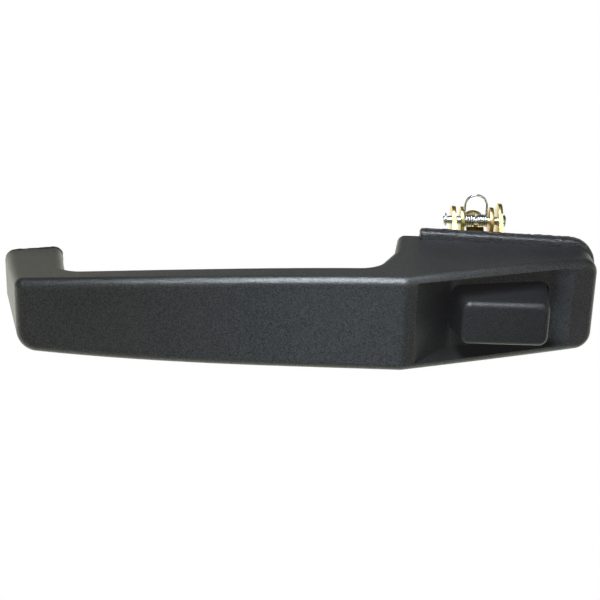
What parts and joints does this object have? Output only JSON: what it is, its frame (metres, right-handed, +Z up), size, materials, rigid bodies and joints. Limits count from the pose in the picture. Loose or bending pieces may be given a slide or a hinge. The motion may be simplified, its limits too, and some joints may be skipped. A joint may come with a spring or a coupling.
{
  "type": "car door handle",
  "caption": "Exterior pull handle with a fixed grip, a push button in a recessed housing, and a sprung release lever on a bracket behind it.",
  "frame": {"origin": "midpoint between the two mounting studs, on the outer face of the door skin", "axes": "+X along the grip towards the push button, +Y into the door, +Z up"},
  "size_m": [0.2299, 0.0752, 0.0514],
  "materials": {
    "grained_plastic": "fine moulded grain, dark grey-black",
    "gasket_foam": "closed-cell foam rubber, matt",
    "seal_rubber": "soft rubber, matt",
    "brass_insert": "turned",
    "zinc_steel": "clear zinc plated",
    "yellow_zinc_steel": "yellow passivated zinc plating",
    "spring_steel": "bright spring wire",
    "bush_plastic": "natural acetal"
  },
  "bodies": {
    "housing": {"handle_body": "grained_plastic", "foot_gasket": "gasket_foam", "housing_gasket": "gasket_foam", "threaded_inserts": "brass_insert", "mounting_studs": "zinc_steel", "stem_bush": "bush_plastic", "button_return_spring": "spring_steel", "mechanism_bracket": "yellow_zinc_steel", "bracket_screws": "zinc_steel", "bracket_spring_washers": "zinc_steel", "pivot_pin": "zinc_steel", "pin_e_clip": "spring_steel", "lever_torsion_spring": "spring_steel"},
    "button": {"push_button": "grained_plastic", "button_seal": "seal_rubber", "button_stem": "zinc_steel", "stem_stop_washer": "seal_rubber", "stem_e_clip": "spring_steel"},
    "lever": {"release_lever": "yellow_zinc_steel", "adjuster_screw": "zinc_steel", "adjuster_locknut": "yellow_zinc_steel"}
  },
  "joints": [
    {"name": "button_press", "type": "slide", "parent": "housing", "child": "button", "axis": [0, 1, 0], "range_m": [0, 0.0065], "stiffness_N_per_m": 500, "springref_m": -0.008, "deforming": ["button_return_spring"]},
    {"name": "lever_pivot", "type": "hinge", "parent": "housing", "child": "lever", "pos_m": [0.0695, 0.015, 0.0216], "axis": [1, 0, 0], "range_deg": [0, 18], "deforming": ["lever_torsion_spring"]}
  ],
  "couplings": [
    {"joint": "lever_pivot", "follows": "button_press", "rad_per_m": 46.589}
  ]
}
